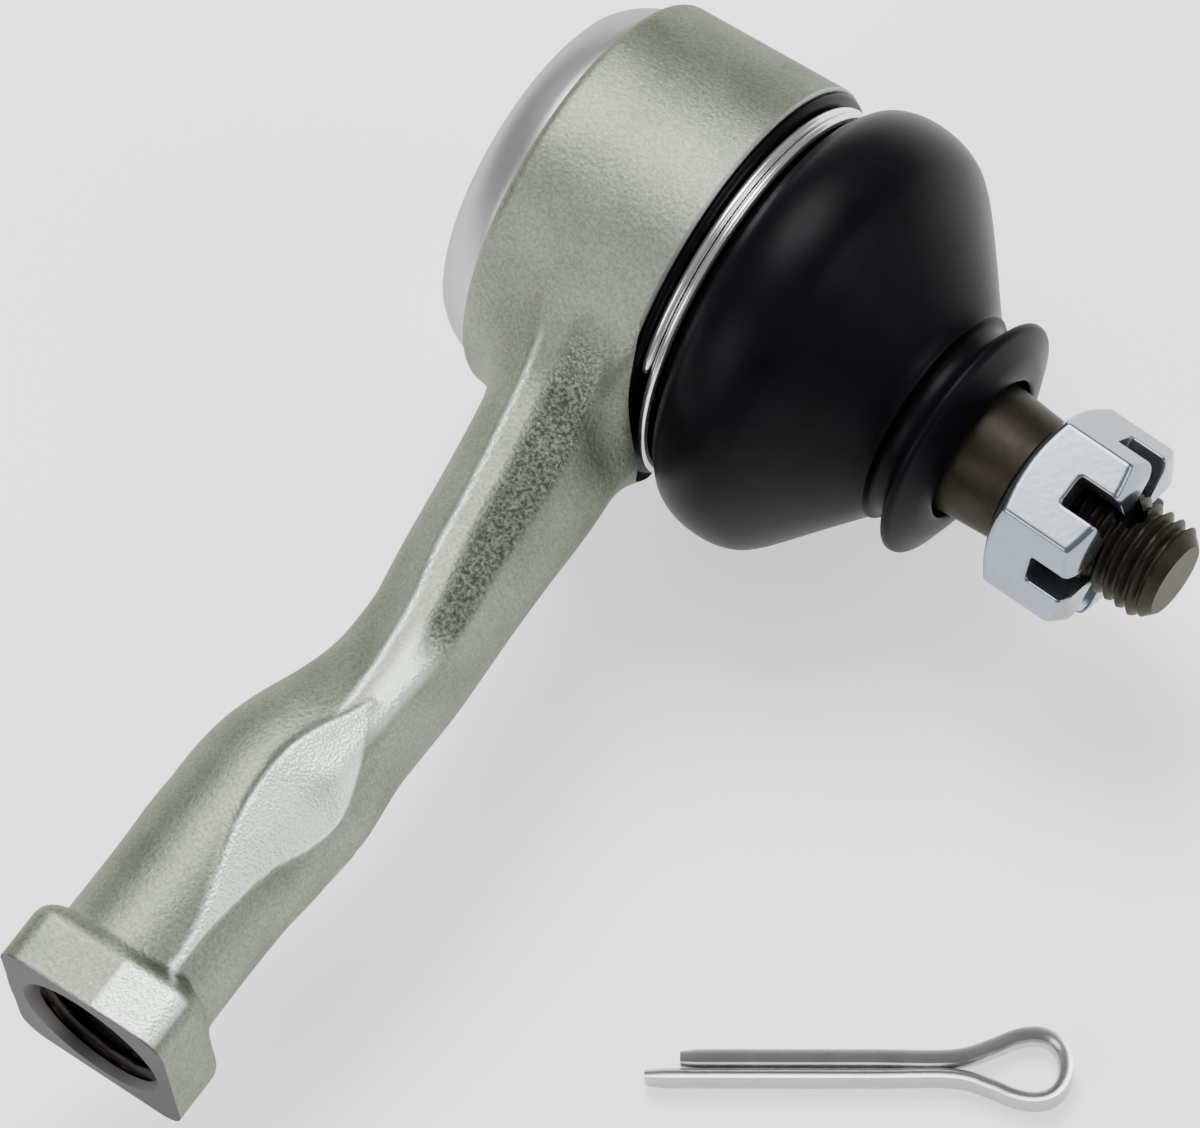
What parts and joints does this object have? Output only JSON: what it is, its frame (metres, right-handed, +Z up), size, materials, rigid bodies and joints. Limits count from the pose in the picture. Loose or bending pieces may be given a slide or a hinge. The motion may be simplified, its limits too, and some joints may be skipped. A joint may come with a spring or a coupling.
{
  "type": "tie rod end",
  "caption": "Ball-jointed steering link end: forged eye on an offset arm with a threaded square end, rubber boot, tapered stud, slotted nut and loose cotter pin.",
  "frame": {"origin": "middle of the cover plate's outer face, on the axis of the housing's eye", "axes": "+X along the eye from its closed end to the stud, -Y along the arm to the threaded end, +Z up with the part lying on its side"},
  "size_m": [0.0867, 0.1149, 0.0436],
  "materials": {
    "forged_steel": "shot-blasted forging, matte",
    "pressed_steel": "pressed plate, satin",
    "spring_steel": "blued spring steel",
    "bearing_plastic": "acetal, smooth",
    "stud_steel": "dark hardened steel",
    "boot_rubber": "satin moulded rubber",
    "clip_wire": "bright plated wire",
    "nut_zinc": "bright zinc plate",
    "pin_zinc": "zinc-plated wire"
  },
  "bodies": {
    "housing": {"housing": "forged_steel", "cover_plate": "pressed_steel", "disc_spring": "spring_steel", "upper_seat": "bearing_plastic", "dust_boot": "boot_rubber", "boot_clip": "clip_wire"},
    "lower_seat": {"lower_seat": "bearing_plastic"},
    "lip_ring": {"boot_lip_ring": "spring_steel"},
    "stud": {"ball_stud": "stud_steel"},
    "nut": {"castle_nut": "nut_zinc"},
    "cotter_pin": {"cotter_pin": "pin_zinc"}
  },
  "joints": [
    {"name": "swing_direction", "type": "hinge", "parent": "housing", "child": "lower_seat", "pos_m": [0.0168, 0, 0], "axis": [1, 0, 0], "continuous": true},
    {"name": "stud_tilt", "type": "hinge", "parent": "lower_seat", "child": "lip_ring", "pos_m": [0.0168, 0, 0], "axis": [0, 0, 1], "range_deg": [-18.4, 25.6], "deforming": ["dust_boot"]},
    {"name": "stud_spin", "type": "hinge", "parent": "lip_ring", "child": "stud", "pos_m": [0.0168, 0, 0], "axis": [0.998, -0.0628, 0], "continuous": true},
    {"name": "nut_turn", "type": "hinge", "parent": "stud", "child": "nut", "pos_m": [0.05572, -0.00245, 0], "axis": [0.998, -0.0628, 0], "continuous": true},
    {"name": "cotter_pin_slide", "type": "slide", "parent": "housing", "child": "cotter_pin", "axis": [0.83, 0.5577, 0], "range_m": [0, 0.03]}
  ]
}
